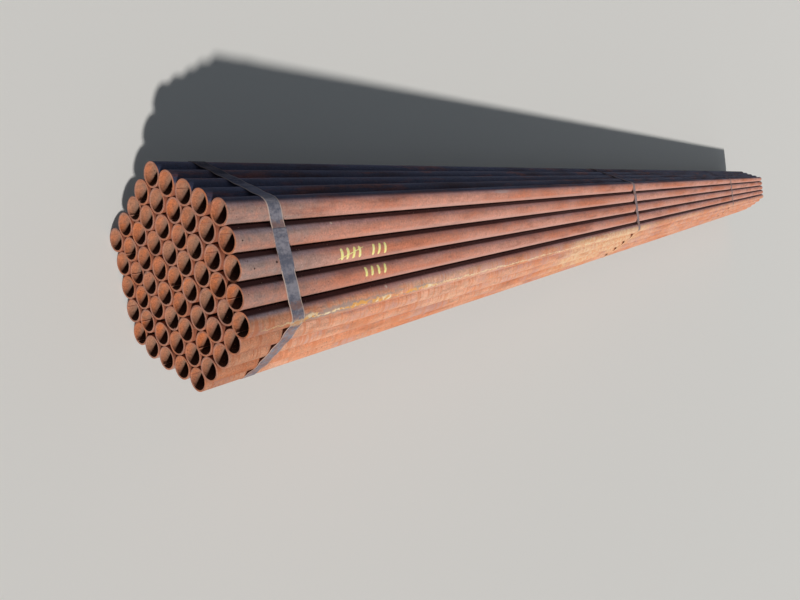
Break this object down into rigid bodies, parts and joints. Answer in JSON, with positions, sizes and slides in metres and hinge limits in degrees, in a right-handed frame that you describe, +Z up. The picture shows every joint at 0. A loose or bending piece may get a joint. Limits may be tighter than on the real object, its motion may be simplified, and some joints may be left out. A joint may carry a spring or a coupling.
{
  "type": "bundle of iron pipes",
  "caption": "Six-sided bundle of long rusty steel pipes in layers, open at both ends and held by flat steel straps.",
  "frame": {"origin": "middle of the bundle on the ground, under the flat runs of the straps", "axes": "+Z up; pipes along Y with the pictured near end at -Y; +X is the right side seen from that end"},
  "size_m": [0.4388, 7.3294, 0.3875],
  "materials": {
    "pipe_steel": "rusted",
    "strap_steel": "blued, dull"
  },
  "bodies": {
    "root": {"pipe_layer_1": "pipe_steel", "pipe_layer_2": "pipe_steel", "pipe_layer_3": "pipe_steel", "pipe_layer_4": "pipe_steel", "pipe_layer_5": "pipe_steel", "pipe_layer_6": "pipe_steel", "pipe_layer_7": "pipe_steel", "pipe_layer_8": "pipe_steel", "pipe_layer_9": "pipe_steel", "strap_front": "strap_steel", "strap_middle": "strap_steel", "strap_rear": "strap_steel"}
  },
  "joints": []
}
